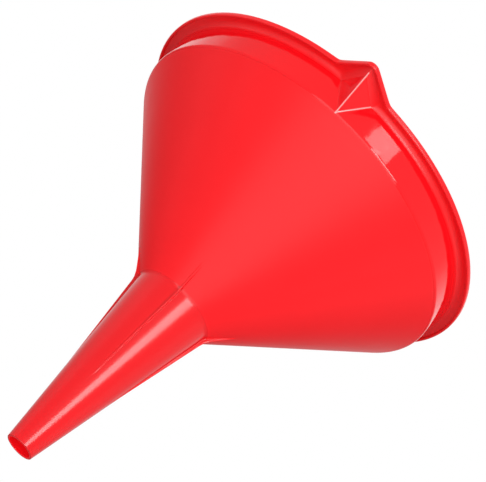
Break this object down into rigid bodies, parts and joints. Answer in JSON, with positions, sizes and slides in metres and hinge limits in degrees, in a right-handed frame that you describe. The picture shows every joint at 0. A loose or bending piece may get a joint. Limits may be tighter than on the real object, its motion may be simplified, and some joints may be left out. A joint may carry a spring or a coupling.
{
  "type": "pouring funnel",
  "caption": "Wide conical pouring funnel with a turned-down rim, a V-shaped pouring lip, a long tapered nozzle with vent ribs, and a lift-out gauze strainer in the throat.",
  "frame": {"origin": "bottom centre of the bounding box, at the height of the nozzle's outlet; the funnel's own axis is the vertical line through x = -0.009408 m, y = 0", "axes": "+Z along the funnel's axis from the outlet to the rim, +X towards the pouring lip"},
  "size_m": [0.2688, 0.25, 0.252],
  "materials": {
    "red_plastic": "moulded red plastic: fine matt grain on the cone, gloss on the nozzle, collar, lip and rim",
    "black_plastic": "moulded black plastic, satin",
    "brass_wire": "woven bright brass wire"
  },
  "bodies": {
    "funnel": {"funnel_body": "red_plastic"},
    "strainer": {"strainer_frame": "black_plastic", "strainer_gauze": "brass_wire", "strainer_clip_ring": "black_plastic"}
  },
  "joints": [
    {"name": "strainer_lift", "type": "slide", "parent": "funnel", "child": "strainer", "axis": [0, 0, 1], "range_m": [0, 0.22]}
  ]
}
